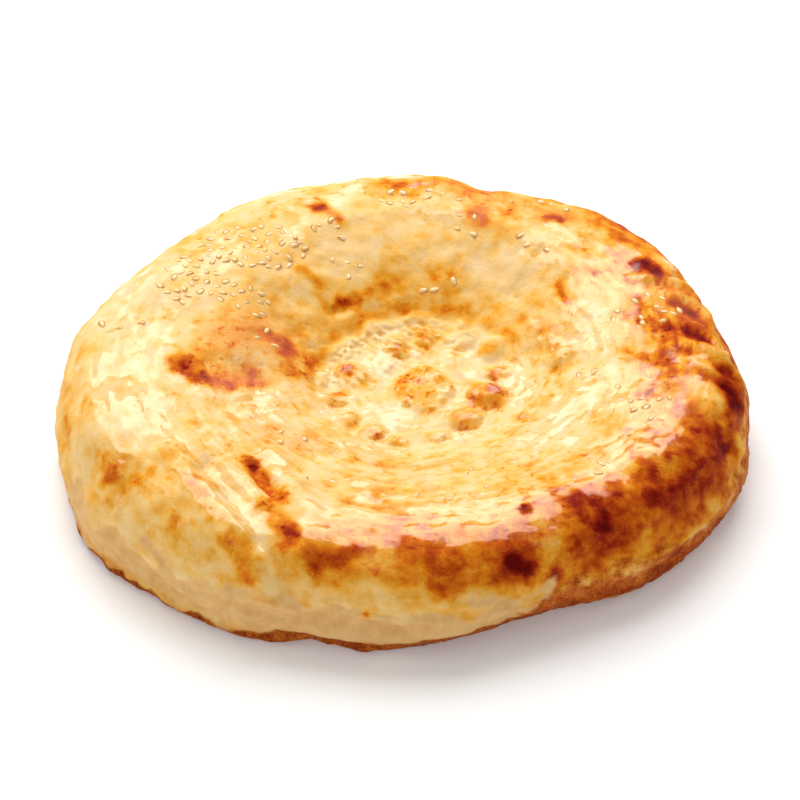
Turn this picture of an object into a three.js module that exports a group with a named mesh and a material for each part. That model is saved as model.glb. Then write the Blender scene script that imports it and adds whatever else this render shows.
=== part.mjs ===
// A round tandoor flatbread: a puffed rim round a sunken middle, with hulled sesame seeds on its crust.
// Millimetres, +Z up. +Y is the back of the loaf. The origin is the middle of the loaf's footprint, on
// the surface that it lies on.
import * as THREE from "three";
import { mergeVertices } from "three/addons/utils/BufferGeometryUtils.js";

const loaf = {
  // Widest radius of the rim, every 15 degrees from +X towards +Y.
  rimRadii: [
    121, 115, 118, 116, 111, 109, 110, 110, 113, 112, 113, 118,
    121, 123, 125, 122, 120, 117, 116, 115, 114, 119, 122, 123,
  ],
  // Height of the rim's crest, every 30 degrees from +X towards +Y.
  crestHeights: [41, 42, 43, 44, 43, 42, 41, 40, 39, 38, 39, 40],
  widestHeight: 13, // where the rim is widest
  rimRound: 2.2, // how square the rim's outer shoulder is: 2 is a plain ellipse
  // How far the base's edge lies inside the widest radius, every 30 degrees: least at the front left,
  // where the base has spread into a thin brown skirt.
  undercuts: [8, 7, 7, 7, 7, 7, 7, 3, 5, 7, 10, 6],
  floorHeight: 21, // top of the sunken middle
  floorDome: 1.5, // how far the middle of the floor stands above its edge
  floorRadius: 33, // where the floor meets the slope up to the crest
  floorOffset: new THREE.Vector2(5, 1), // the stamped middle is a little off centre
  backCrestInset: 24, // from the widest radius in to the crest, at the back
  frontCrestInset: 19, // the same at the front
  backSlopePower: 2.5, // above 1, the slope is steepest at its foot: strongly at the back
  frontSlopePower: 1.35, // and nearly straight at the front
  baseFlatInset: 14, // the base's rim may lift off the surface outside this ring
};

// Places where the base's edge curls up off the surface: direction and half width in degrees, and height.
const baseLifts = [
  { direction: 287, halfWidth: 14, height: 4 },
  { direction: 255, halfWidth: 7, height: 2 },
  { direction: 205, halfWidth: 12, height: 2.5 },
  { direction: 40, halfWidth: 18, height: 3 },
];

const segments = 96; // round the loaf
const floorRings = 4;
const slopeRings = 10;
const shoulderRings = 10;
const baseRings = 4;

const seed = {
  length: 3.2,
  width: 1.9,
  thickness: 0.95,
  pointed: 0.35, // how much narrower the tip is than the round end
  gap: 0.25, // clear of the crust and of each other
  sides: 7,
  rings: 5,
};

// Where the seeds fell thickest: the middle of each patch, its half sizes, and how many seeds.
const seedPatches = [
  { x: -54, y: 57, halfX: 18, halfY: 11, count: 14 },
  { x: -76, y: 37, halfX: 11, halfY: 12, count: 9 },
  { x: -56, y: 30, halfX: 11, halfY: 6, count: 4 },
  { x: -49, y: 15, halfX: 4, halfY: 4, count: 3 },
  { x: -27, y: 69, halfX: 6, halfY: 4, count: 3 },
  { x: -20, y: 53, halfX: 9, halfY: 5, count: 4 },
  { x: 3, y: 85, halfX: 13, halfY: 4, count: 3 },
  { x: 20, y: 69, halfX: 9, halfY: 6, count: 4 },
  { x: 46, y: 60, halfX: 8, halfY: 11, count: 3 },
  { x: 85, y: 22, halfX: 13, halfY: 9, count: 6 },
  { x: 82, y: -26, halfX: 9, halfY: 11, count: 6 },
];

const degrees = Math.PI / 180;

// A smooth closed curve through values that are evenly spaced round a turn.
function around(values, angle) {
  const place = ((angle / (2 * Math.PI)) * values.length + values.length) % values.length;
  const first = Math.floor(place);
  const t = place - first;
  const [a, b, c, d] = [-1, 0, 1, 2].map(
    (step) => values[(first + step + values.length) % values.length],
  );
  const bend = 2 * a - 5 * b + 4 * c - d;
  const twist = -a + 3 * b - 3 * c + d;
  return 0.5 * (2 * b + (c - a) * t + bend * t * t + twist * t * t * t);
}

// How far the base's edge is lifted in one direction.
function liftAt(angle) {
  let lift = 0;
  for (const place of baseLifts) {
    const turn = Math.atan2(
      Math.sin(angle - place.direction * degrees),
      Math.cos(angle - place.direction * degrees),
    );
    const share = turn / (place.halfWidth * degrees);
    lift += place.height * Math.exp(-share * share * 2);
  }
  return lift;
}

// Points of the loaf's section in one direction, from the floor's middle over the rim to the flat base.
function sectionAt(angle) {
  const widest = around(loaf.rimRadii, angle);
  const crest = around(loaf.crestHeights, angle);
  const undercut = around(loaf.undercuts, angle);
  const toBack = 0.5 + 0.5 * Math.sin(angle);
  const crestRadius = widest - THREE.MathUtils.lerp(loaf.frontCrestInset, loaf.backCrestInset, toBack);
  const power = THREE.MathUtils.lerp(loaf.frontSlopePower, loaf.backSlopePower, toBack);
  const lift = liftAt(angle);
  const direction = new THREE.Vector2(Math.cos(angle), Math.sin(angle));
  const footPoint = direction.clone().multiplyScalar(loaf.floorRadius).add(loaf.floorOffset);
  const crestPoint = direction.clone().multiplyScalar(crestRadius);
  const points = [];
  for (let i = 1; i <= floorRings; i++) {
    const share = i / floorRings;
    const flat = loaf.floorOffset.clone().lerp(footPoint, share);
    points.push([flat, loaf.floorHeight - loaf.floorDome * share * share]);
  }
  const footHeight = loaf.floorHeight - loaf.floorDome;
  for (let i = 1; i <= slopeRings; i++) {
    const share = i / slopeRings;
    const rise = 1 - (1 - share) ** power;
    const eased = rise * (2 - rise) * 0.35 + rise * 0.65;
    points.push([footPoint.clone().lerp(crestPoint, share), footHeight + (crest - footHeight) * eased]);
  }
  for (let i = 1; i <= shoulderRings; i++) {
    const t = (i / shoulderRings) * (Math.PI / 2);
    const out = crestRadius + (widest - crestRadius) * Math.sin(t) ** (2 / loaf.rimRound);
    const low = loaf.widestHeight + lift * 0.5;
    const height = low + (crest - low) * Math.max(0, Math.cos(t)) ** (2 / loaf.rimRound);
    points.push([direction.clone().multiplyScalar(out), height]);
  }
  for (let i = 1; i <= baseRings; i++) {
    const t = (i / baseRings) * (Math.PI / 2);
    const out = widest - undercut * (1 - Math.cos(t));
    const height = lift + (loaf.widestHeight - lift * 0.5) * (1 - Math.sin(t));
    points.push([direction.clone().multiplyScalar(out), height]);
  }
  points.push([direction.clone().multiplyScalar(widest - undercut - loaf.baseFlatInset), 0]);
  return points.map(([flat, height]) => new THREE.Vector3(flat.x, flat.y, height));
}

// A closed skin over rings of points that all have the same number of points.
function closedSkin(sections, top, bottom) {
  const rings = sections[0].length;
  const vertices = [top, bottom, ...sections.flat()];
  const at = (turn, ring) => 2 + (turn % sections.length) * rings + ring;
  const faces = [];
  for (let turn = 0; turn < sections.length; turn++) {
    faces.push(0, at(turn, 0), at(turn + 1, 0));
    for (let ring = 0; ring < rings - 1; ring++) {
      const [a, b] = [at(turn, ring), at(turn, ring + 1)];
      const [c, d] = [at(turn + 1, ring), at(turn + 1, ring + 1)];
      faces.push(a, b, d, a, d, c);
    }
    faces.push(1, at(turn + 1, rings - 1), at(turn, rings - 1));
  }
  return new THREE.BufferGeometry().setFromPoints(vertices).setIndex(faces);
}

function makeLoaf() {
  const sections = [];
  for (let turn = 0; turn < segments; turn++) {
    sections.push(sectionAt((turn / segments) * 2 * Math.PI));
  }
  const top = new THREE.Vector3(loaf.floorOffset.x, loaf.floorOffset.y, loaf.floorHeight);
  const geometry = closedSkin(sections, top, new THREE.Vector3(0, 0, 0));
  geometry.computeBoundingBox();
  const middle = geometry.boundingBox.getCenter(new THREE.Vector3());
  geometry.translate(-middle.x, -middle.y, 0);
  const crust = new THREE.MeshStandardMaterial({ color: 0xe9b25c, roughness: 0.35, metalness: 0 });
  const mesh = new THREE.Mesh(geometry, crust);
  mesh.name = "flatbread";
  return mesh;
}

// One seed, lying flat, with its tip along +X: a flattened drop.
function makeSeedGeometry() {
  const profile = [];
  for (let i = 0; i <= seed.rings; i++) {
    const t = (i / seed.rings) * Math.PI;
    const taper = 1 - seed.pointed * (0.5 - 0.5 * Math.cos(t));
    const radius = i === 0 || i === seed.rings ? 0 : Math.sin(t) * taper;
    profile.push(new THREE.Vector2(radius, Math.cos(t)));
  }
  const drop = new THREE.LatheGeometry(profile.reverse(), seed.sides);
  drop.rotateZ(Math.PI / 2);
  drop.deleteAttribute("normal");
  drop.deleteAttribute("uv");
  const closed = mergeVertices(drop, 1e-4);
  closed.scale(seed.length / 2, seed.width / 2, seed.thickness / 2);
  return closed;
}

// The same scatter every time: a small seeded generator of numbers from 0 to 1.
function numbersFrom(start) {
  let state = start;
  return () => {
    state = (state * 1664525 + 1013904223) % 4294967296;
    return state / 4294967296;
  };
}

// Seeds dropped straight down on the crust and laid flat on it, patch by patch.
function makeSeeds(bread) {
  const random = numbersFrom(7);
  const geometry = makeSeedGeometry();
  const hull = new THREE.MeshStandardMaterial({ color: 0xf3dca6, roughness: 0.5, metalness: 0 });
  const down = new THREE.Vector3(0, 0, -1);
  const seeds = [];
  for (const patch of seedPatches) {
    let left = patch.count;
    while (left > 0) {
      const reach = Math.sqrt(random());
      const bearing = random() * 2 * Math.PI;
      const turn = random() * 2 * Math.PI;
      const above = new THREE.Vector3(
        patch.x + patch.halfX * reach * Math.cos(bearing),
        patch.y + patch.halfY * reach * Math.sin(bearing),
        100,
      );
      const hit = new THREE.Raycaster(above, down).intersectObject(bread)[0];
      const place = hit.point.addScaledVector(hit.face.normal, seed.thickness / 2 + seed.gap);
      const clear = seeds.every((other) => other.position.distanceTo(place) > seed.length + seed.gap);
      if (!clear) continue;
      const lying = new THREE.Mesh(geometry, hull);
      lying.position.copy(place);
      lying.quaternion.setFromUnitVectors(new THREE.Vector3(0, 0, 1), hit.face.normal);
      lying.rotateZ(turn);
      seeds.push(lying);
      lying.name = `sesame_seed_${String(seeds.length).padStart(2, "0")}`;
      left -= 1;
    }
  }
  return seeds;
}

const flatbread = new THREE.Group();
const bread = makeLoaf();
flatbread.add(bread, ...makeSeeds(bread));

export default flatbread;
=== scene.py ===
import math
import random

import bpy
import numpy as np
from mathutils import Matrix, Vector, noise
from mathutils.bvhtree import BVHTree


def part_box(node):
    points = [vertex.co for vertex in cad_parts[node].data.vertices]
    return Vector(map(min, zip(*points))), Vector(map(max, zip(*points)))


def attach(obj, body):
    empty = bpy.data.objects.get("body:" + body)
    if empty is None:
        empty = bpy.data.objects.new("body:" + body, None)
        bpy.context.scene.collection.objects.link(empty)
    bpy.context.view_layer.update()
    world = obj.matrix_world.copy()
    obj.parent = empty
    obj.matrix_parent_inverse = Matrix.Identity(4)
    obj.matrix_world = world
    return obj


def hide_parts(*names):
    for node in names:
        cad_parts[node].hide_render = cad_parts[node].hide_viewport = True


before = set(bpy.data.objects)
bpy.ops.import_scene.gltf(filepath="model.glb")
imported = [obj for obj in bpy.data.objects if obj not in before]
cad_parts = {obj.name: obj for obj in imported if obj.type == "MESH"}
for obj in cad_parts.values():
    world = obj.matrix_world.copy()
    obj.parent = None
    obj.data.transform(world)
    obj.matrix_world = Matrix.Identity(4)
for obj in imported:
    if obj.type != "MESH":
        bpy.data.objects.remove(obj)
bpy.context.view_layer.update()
mm = 0.001

# Camera, lights and floor

view = {
    "elevation": 40,  # degrees above the table
    "distance": 1.1,
    "lens": 140.45,
    "target": (-0.0014, 0.0002, 0.0168),
}

studio = {
    "floorColour": (0.93, 0.96, 0.99),
    "floorGlow": 0.12,  # the table is lit a little from within, so that its shadows stay light
    "floorSize": 6.0,
    "skyStrength": 0.36,
    "skyColour": (1.0, 0.985, 0.97),
    # name: azimuth round the loaf (90 is behind it), elevation, distance, width, height, power, colour
    "lamps": {
        "backSoftbox": (97, 52, 1.3, 1.5, 1.25, 24.5, (1.0, 0.945, 0.885)),
        "frontFill": (262, 34, 2.0, 1.6, 1.2, 5.5, (1.0, 0.96, 0.91)),
        "leftFill": (198, 24, 1.8, 1.4, 1.0, 4.0, (1.0, 0.97, 0.93)),
    },
}


def pointAround(azimuth, elevation, distance, centre):
    a, e = math.radians(azimuth), math.radians(elevation)
    return centre + distance * Vector((math.cos(e) * math.cos(a), math.cos(e) * math.sin(a), math.sin(e)))


def setCamera():
    target = Vector(view["target"])
    data = bpy.data.cameras.new("camera")
    data.lens = view["lens"]
    data.sensor_width = 36
    data.clip_start = 0.05
    camera = bpy.data.objects.new("camera", data)
    camera.location = pointAround(-90, view["elevation"], view["distance"], target)
    camera.rotation_euler = (target - camera.location).to_track_quat("-Z", "Y").to_euler()
    bpy.context.scene.collection.objects.link(camera)
    bpy.context.scene.camera = camera


def lightStudio():
    centre = Vector((0, 0, 0.03))
    for name, (azimuth, elevation, distance, width, height, power, colour) in studio["lamps"].items():
        data = bpy.data.lights.new(name, "AREA")
        data.shape = "RECTANGLE"
        data.size = width
        data.size_y = height
        data.energy = power
        data.color = colour
        lamp = bpy.data.objects.new(name, data)
        lamp.location = pointAround(azimuth, elevation, distance, centre)
        lamp.rotation_euler = (centre - lamp.location).to_track_quat("-Z", "Y").to_euler()
        bpy.context.scene.collection.objects.link(lamp)
    world = bpy.data.worlds.new("whiteRoom")
    world.use_nodes = True
    background = world.node_tree.nodes["Background"]
    background.inputs["Color"].default_value = (*studio["skyColour"], 1)
    background.inputs["Strength"].default_value = studio["skyStrength"]
    scene = bpy.context.scene
    scene.world = world
    scene.view_settings.view_transform = "Standard"


def layFloor():
    bpy.ops.object.select_all(action="DESELECT")
    bpy.ops.mesh.primitive_plane_add(size=studio["floorSize"], location=(0, 0, -0.00005))
    floor = bpy.context.object
    floor.name = "floor"
    paper = bpy.data.materials.new("whiteTable")
    paper.use_nodes = True
    shader = paper.node_tree.nodes["Principled BSDF"]
    shader.inputs["Base Color"].default_value = (*studio["floorColour"], 1)
    shader.inputs["Roughness"].default_value = 0.9
    shader.inputs["Specular IOR Level"].default_value = 0.1
    shader.inputs["Emission Color"].default_value = (1, 1, 1, 1)
    shader.inputs["Emission Strength"].default_value = studio["floorGlow"]
    floor.data.materials.append(paper)


setCamera()
lightStudio()
layFloor()
print("studio ready")

# The loaf's form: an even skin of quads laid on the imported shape

form = {
    "cuts": 100,  # along each edge of the starting cube; one subdivide makes no more than this
    "smoothing": 6,  # passes
    "heart": (5, 4, 3),  # low point under the sunken middle that sees the whole skin
    "directions": 360,
    "samples": 500,  # along each section
    "rayGap": 1.2,
    "floorRadius": 33,  # a rough section for aiming the rays: floor, rim, widest height and undercut
    "rimWidth": 22,
    "widestShare": 0.4,
    "undercut": 7,
    "stampRadius": 40,  # inside it the mesh is finest
    "baseRadius": 100,  # inside it the underside is coarse
    "stampShare": 3.6,  # how fine the mesh is in the stamp, on top, on the wall and below
    "topShare": 1.5,
    "wallShare": 0.95,
    "baseShare": 0.3,
    "baseEdge": 0.8,  # height at which the crust's UV island ends and the underside's begins
    "topIsland": 0.415,  # radii of the two islands
    "underIsland": 0.145,
}


def freshStart():
    if bpy.context.object and bpy.context.object.mode != "OBJECT":
        bpy.ops.object.mode_set(mode="OBJECT")
    bpy.ops.object.select_all(action="DESELECT")


def pick(piece):
    freshStart()
    piece.select_set(True)
    bpy.context.view_layer.objects.active = piece


def editWhole():
    bpy.ops.object.mode_set(mode="EDIT")
    bpy.ops.mesh.select_all(action="SELECT")


def applyAll(piece):
    pick(piece)
    for modifier in list(piece.modifiers):
        bpy.ops.object.modifier_apply(modifier=modifier.name)


def roundedCopy(node):
    copy = bpy.data.objects.new("roundedLoaf", node.data.copy())
    bpy.context.scene.collection.objects.link(copy)
    pick(copy)
    editWhole()
    bpy.ops.mesh.remove_doubles(threshold=0.00001)
    bpy.ops.mesh.tris_convert_to_quads()
    bpy.ops.object.mode_set(mode="OBJECT")
    rounding = copy.modifiers.new("rounding", "SUBSURF")
    rounding.levels = rounding.render_levels = 2
    applyAll(copy)
    return copy


def treeOf(piece):
    points = [v.co / mm for v in piece.data.vertices]
    return BVHTree.FromPolygons(points, [tuple(p.vertices) for p in piece.data.polygons])


def sectionGrid(tree, low, high):
    # Rays from the heart in every direction, aimed along a rough section so that they are evenly spread.
    heart = Vector(form["heart"])
    reach, top = 0.5 * (high.x - low.x), high.z
    corners = [(0, top / 2), (form["floorRadius"], top / 2), (reach - form["rimWidth"], top)]
    corners += [(reach, top * form["widestShare"]), (reach - form["undercut"], 0.3), (0, 0)]
    aims = []
    for (r0, z0), (r1, z1) in zip(corners[:-1], corners[1:]):
        steps = max(2, int(math.hypot(r1 - r0, z1 - z0) / form["rayGap"]))
        aims += [(r0 + (r1 - r0) * i / steps, z0 + (z1 - z0) * i / steps) for i in range(steps)]
    aims.append(corners[-1])
    grid = np.zeros((form["directions"], len(aims), 3))
    for turn in range(form["directions"]):
        angle = 2 * math.pi * turn / form["directions"]
        for step, (r, z) in enumerate(aims):
            aim = Vector((r * math.cos(angle), r * math.sin(angle), z - heart.z))
            grid[turn, step] = tree.ray_cast(heart, aim.normalized())[0]
    return grid


def evenSections(grid):
    # Resamples every section so that equal steps in latitude cover equal weighted areas.
    middle, samples = np.array(form["heart"]), form["samples"]
    crestHeight = grid[:, :, 2].max(1, keepdims=True)
    steps = np.linalg.norm(np.diff(grid, axis=1), axis=2)
    halfway = 0.5 * (grid[:, 1:] + grid[:, :-1])
    radius = np.linalg.norm((halfway - middle)[:, :, :2], axis=2)
    onTop = np.arange(steps.shape[1])[None, :] < grid[:, :, 2].argmax(1)[:, None] + 6
    share = np.where(onTop, form["topShare"], form["wallShare"])
    share = np.where(onTop & (radius < form["stampRadius"]), form["stampShare"], share)
    onBase = (halfway[:, :, 2] < 0.2 * crestHeight) & (radius < form["baseRadius"])
    share = np.where(onBase, form["baseShare"], share)
    area = np.cumsum(steps * radius * share + 1e-6, axis=1)
    weight = np.concatenate([np.zeros((len(grid), 1)), area], axis=1)
    weight /= weight[:, -1:]
    latitudes = np.linspace(0, math.pi, samples)
    wanted = 0.5 - 0.5 * np.cos(latitudes)
    even = np.zeros((len(grid), samples, 3))
    for turn in range(len(grid)):
        for axis in range(3):
            even[turn, :, axis] = np.interp(wanted, weight[turn], grid[turn, :, axis])
    return even


def layOnSections(sphere, even):
    latitude = np.arccos(np.clip(sphere[:, 2], -1, 1)) / math.pi * (even.shape[1] - 1)
    turn = np.arctan2(sphere[:, 1], sphere[:, 0]) / (2 * math.pi) * len(even) % len(even)
    row, column = np.minimum(latitude.astype(int), even.shape[1] - 2), turn.astype(int) % len(even)
    down, across = (latitude - row)[:, None], (turn - np.floor(turn))[:, None]
    after = (column + 1) % len(even)
    upper = even[column, row] * (1 - across) + even[after, row] * across
    lower = even[column, row + 1] * (1 - across) + even[after, row + 1] * across
    return upper * (1 - down) + lower * down


def pointsOf(piece):
    points = np.zeros(len(piece.data.vertices) * 3)
    piece.data.vertices.foreach_get("co", points)
    return points.reshape(-1, 3) / mm


def movePoints(piece, points):
    piece.data.vertices.foreach_set("co", (points * mm).ravel())
    piece.data.update()


def normalsOf(piece):
    normals = np.zeros(len(piece.data.vertices) * 3)
    piece.data.vertex_normals.foreach_get("vector", normals)
    return normals.reshape(-1, 3)


def unwrapLoaf(bread, sphere, even):
    # Two round islands: the crust from its middle to the base's edge, and the underside.
    steps = np.linalg.norm(np.diff(even, axis=1), axis=2).mean(0)
    reach = np.concatenate([[0], np.cumsum(steps)])
    edge = reach[np.nonzero(even[:, :, 2].mean(0) > form["baseEdge"])[0][-1]]
    samples = np.arccos(np.clip(sphere[:, 2], -1, 1)) / math.pi * (len(reach) - 1)
    along = np.interp(samples, np.arange(len(reach)), reach)
    turn = np.arctan2(sphere[:, 1], sphere[:, 0])
    corners = np.zeros(len(bread.data.loops), int)
    bread.data.loops.foreach_get("vertex_index", corners)
    below = np.repeat(along[corners].reshape(-1, 4).mean(1) > edge, 4)
    along, turn = along[corners], turn[corners]
    top, under = form["topIsland"], form["underIsland"]
    radius = np.where(below, (reach[-1] - along) / (reach[-1] - edge) * under, along / edge * top)
    middle = np.where(below, 1 - under * 1.1, top * 1.05)
    flip = np.where(below, -1, 1)
    for layer in list(bread.data.uv_layers):
        bread.data.uv_layers.remove(layer)
    places = np.stack([middle + radius * np.cos(turn) * flip, middle + radius * np.sin(turn)], axis=1)
    bread.data.uv_layers.new(name="OFBake").data.foreach_set("uv", places.astype(np.float32).ravel())


def makeLoafForm():
    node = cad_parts["flatbread"]
    low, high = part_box("flatbread")
    rounded = roundedCopy(node)
    even = evenSections(sectionGrid(treeOf(rounded), low / mm, high / mm))
    bpy.data.objects.remove(rounded)
    freshStart()
    bpy.ops.mesh.primitive_cube_add(size=2)
    bread = bpy.context.object
    bread.name = "flatbread_crust"
    editWhole()
    bpy.ops.mesh.subdivide(number_cuts=form["cuts"])
    bpy.ops.object.mode_set(mode="OBJECT")
    sphere = pointsOf(bread) * mm
    sphere /= np.linalg.norm(sphere, axis=1, keepdims=True)
    unwrapLoaf(bread, sphere, even)
    movePoints(bread, layOnSections(sphere, even))
    smoothing = bread.modifiers.new("smoothing", "SMOOTH")
    smoothing.factor = 0.5
    smoothing.iterations = form["smoothing"]
    applyAll(bread)
    bread.data.shade_smooth()
    return bread


bread = makeLoafForm()
print("loaf form laid:", len(bread.data.polygons), "quads")

# Sculpting: strokes in millimetres. A place with two numbers lies on top of the loaf.


def lumps(points, size, seed, detail=3):
    # soft noise round 0; every seed gives another pattern
    shift = Vector((seed * 17.3, seed * 5.1, seed * 9.7))
    size = np.broadcast_to(np.array(size, float), (3,))
    return np.array([noise.fractal(Vector(p) + shift, 1.0, 2.0, detail) for p in points / size])


def mixedLumps(points, parts):
    return sum(amount * lumps(points, size, seed, detail) for size, seed, detail, amount in parts)


def stretchedLumps(flow, pitch, length, seed, detail=2):
    return lumps(flow / (pitch, length, length), 1, seed, detail)


def warpOf(points, size, seed, detail=2):
    return np.stack([lumps(points, size, seed + i, detail) for i in range(3)], axis=1)


class Skin:
    def __init__(self, piece):
        self.tree = treeOf(piece)

    def place(self, point):
        if len(point) == 2:
            return np.array(self.tree.ray_cast(Vector((*point, 200)), Vector((0, 0, -1)))[0])
        return np.array(self.tree.find_nearest(Vector(point))[0])

    def near(self, points, path):
        return nearPath(points, [self.place(p) for p in path])

    def strokes(self, points, marks):
        # the sum of all strokes: each at its full amount on its path, fading to nothing at its width
        total = np.zeros(len(points))
        for path, width, amount in marks.values():
            total += amount * bell(self.near(points, path)[0], width)
        return total


def nearPath(points, path):
    # Distance to a path, the side of it in plan (1 left, -1 right), and the share of the way along it.
    best = np.full(len(points), 1e9)
    side, along = np.ones(len(points)), np.full(len(points), 0.5)
    ends = list(zip(path[:-1], path[1:])) or [(path[0], path[0])]
    total = sum(np.linalg.norm(b - a) for a, b in ends) or 1
    done = 0
    for a, b in ends:
        step = b - a
        share = np.clip((points - a) @ step / max(step @ step, 1e-9), 0, 1)
        away = points - (a + share[:, None] * step)
        distance = np.linalg.norm(away, axis=1)
        closer = distance < best
        best[closer] = distance[closer]
        side[closer] = np.sign(step[0] * away[closer, 1] - step[1] * away[closer, 0])
        if len(path) > 1:
            along[closer] = (done + share[closer] * np.linalg.norm(step)) / total
        done += np.linalg.norm(step)
    return best, side, along


def bell(distance, width):
    # 1 at no distance, falling to 0 at the width
    q = np.clip(distance / width, 0, 1)
    return (1 - q * q) ** 2


def dome(distance, width):
    # the same with a flatter top and steeper sides
    q = np.clip(distance / width, 0, 1)
    return (1 - q**2.6) ** 1.3


def twoSided(offset, widthBelow, widthAbove):
    return np.where(offset > 0, bell(offset, widthAbove), bell(-offset, widthBelow))


# size, seed, detail, height: how uneven the dough is all over
unevenness = [(34, 1, 3, 1.3), (13, 2, 3, 0.7)]

# path, width, height: soft swellings and hollows
swellings = {
    "rimLumpLeft": ([(-98, -40)], 26, 1.6),
    "rimHollowLeft": ([(-110, -50, 20), (-104, -52, 30)], 12, -2.0),
    "rimLumpFrontLeft": ([(-72, -84, 30)], 24, 2.0),
    "foldValley": ([(-66, -60), (-52, -80), (-44, -97), (-38, -106, 26)], 8, -2.2),
    "foldRidge": ([(-80, -54), (-69, -70), (-57, -86), (-50, -99), (-44, -106, 28)], 7, 2.6),
    "slitLipRight": ([(-43, -50), (-36, -66), (-31, -80)], 8, 1.6),
    "slitLipLeft": ([(-58, -58), (-53, -68), (-47, -80)], 6, 1.2),
    "burntDip": ([(-44, -82), (-38, -93)], 7, -1.6),
    "frontDip": ([(-26, -104, 33)], 10, -1.2),
    "wallFoldA": ([(-25, -109, 25), (0, -110, 26), (26, -108, 22)], 4.5, 1.8),
    "wallFoldB": ([(-50, -104, 16), (-25, -112, 14), (5, -113, 14)], 5, -1.8),
    "wallFoldC": ([(-20, -110, 19), (10, -112, 18), (34, -106, 16)], 4, 1.1),
    "wallCrease": ([(-96, -66, 18), (-84, -80, 14), (-74, -90, 10)], 5, -2.1),
    "wallCreaseLip": ([(-92, -62, 24), (-78, -80, 18), (-66, -92, 12)], 6, 1.4),
    "leftWallFold": ([(-112, -20, 28), (-114, -34, 20), (-110, -48, 14)], 5, 1.0),
    "backShelf": ([(36, 31), (50, 30), (64, 26)], 16, 0.8),
    "backShelfValley": ([(27, 38), (35, 41)], 5, -0.8),
    "backPillow": ([(-6, 60), (14, 58)], 18, 1.4),
    "backPillowLeft": ([(-34, 46)], 13, 1.2),
    "leftSag": ([(-62, -8), (-50, -6)], 12, -1.6),
    "leftBump": ([(-58, 16)], 18, 1.4),
    "rightShoulder": ([(82, -54)], 14, 1.5),
    "rightHollow": ([(106, -38, 34), (112, -44, 26)], 8, -1.4),
    "noseRight": ([(52, -96, 30)], 12, 1.2),
    "sandRidge": ([(56, -98, 18), (84, -80, 17), (104, -60, 18)], 4, 0.9),
    "sandHollow": ([(58, -98, 11), (86, -78, 10), (108, -56, 11)], 5, -1.4),
    "backDip": ([(30, 96, 38)], 9, -1.4),
    "topKnob": ([(14, 94)], 12, 1.6),
    "diagonalDent": ([(-25, 38), (-18, 42)], 5, -1.2),
}

# path, greatest width, depth: cuts that close up at both ends
gashes = {
    "slit": ([(-52, -53), (-46, -65), (-39, -78)], 4.2, 2.6),
    "slitSmall": ([(-41, -30), (-36, -33)], 2.0, 0.9),
    "fleck": ([(-27, -40), (-20, -43)], 1.8, 0.8),
}

# path, width on its left, width on its right, height: pleats that rise slowly and drop fast
pleats = {
    "pleatA": ([(82, 37), (94, 34), (101, 31), (106, 27, 35)], 7, 2.2, 3.2),
    "pleatB": ([(92, 29), (101, 25), (106, 18), (109, 9, 37)], 6, 2.0, 3.2),
    "pleatC": ([(92, 14), (103, 8), (109, 2), (113, -5, 36)], 6, 2.0, 2.9),
    "pleatD": ([(96, 1), (106, -3), (113, -6, 36), (117, -10, 31)], 6, 2.0, 2.6),
    "pleatE": ([(99, -10), (109, -15), (115, -20, 33), (118, -24, 26)], 5, 2.0, 2.1),
    "leftPleatA": ([(-104, -8, 38), (-105, -24, 37), (-102, -40, 36)], 2.0, 4.0, 1.0),
    "leftPleatB": ([(-98, -14), (-98, -30), (-95, -44)], 1.8, 3.5, 0.9),
    "leftPleatC": ([(-92, -16), (-91, -28), (-88, -40)], 1.8, 3.0, 0.6),
    "seamFront": ([(-77, -54), (-68, -61), (-60, -74)], 2.5, 6, 0.8),
}

# x, y, radius across, radius deep, height: the puffed cells of the stamp
stampCells = [
    (30, 0, 8.0, 7.5, 3.1),
    (21, -13, 7.5, 6.0, 2.4),
    (11, -22, 6.5, 4.5, 1.7),
    (-2, -24, 5.5, 4.0, 1.4),
    (-11, -20, 5.5, 5.0, 1.8),
    (-20, -13, 6.0, 5.5, 2.0),
    (-23, -1, 7.5, 4.5, 1.4),
    (-19, 12, 7.5, 7.0, 1.8),
    (-3, 27, 4.5, 7.0, 1.8),
    (8, 32, 4.5, 6.0, 1.8),
    (20, 30, 6.5, 7.0, 2.2),
    (16, 19, 6.0, 5.5, 1.2),
    (31, 24, 5.5, 6.0, 2.4),
    (33, 12, 8.0, 4.5, 1.8),
    (56, 10, 8.0, 5.0, 2.2),
]

stamp = {
    "middle": (5.5, 4.0),
    "cellShift": 1.6,  # towards the front
    "flowerMiddle": (6.5, 2.0),  # the browned flower pressed in the very middle
    "flowerAcross": 11.0,
    "flowerDeep": 13.5,
    "flowerHeight": 0.7,
    "budSize": 2.6,
    "budHeight": 1.1,
    "grooveWidth": 4.5,  # the pale ring round the flower
    "grooveDepth": 1.0,
    "edgeRadius": 36.5,  # where the stamp's edge bit into the slope
    "edgeInside": 2.2,
    "edgeOutside": 6,
    "edgeDepth": 0.8,
    "scallops": 13,
    "scallopReach": 1.2,
    "tornInset": 3.0,
    "tornWidth": 11,
    "tornHeight": 1.0,
    "tornGrain": 4.5,
    "tornTurn": (62, 165, 22),  # from and to which direction, and its soft edge
    "frontShare": 0.06,  # of the edge's depth, away from the torn part
    "combDirection": 55,  # across the comb's rows, in degrees
    "combPitch": 3.1,
    "dashPitch": 4.3,
    "combDepth": 0.36,
    "combTurn": (85, 175, 15),
    "combBand": (15, 32, 4),  # from and to which radius, and its soft edge
    "grainSize": 2.4,
    "grainHeight": 0.3,
}

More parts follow.
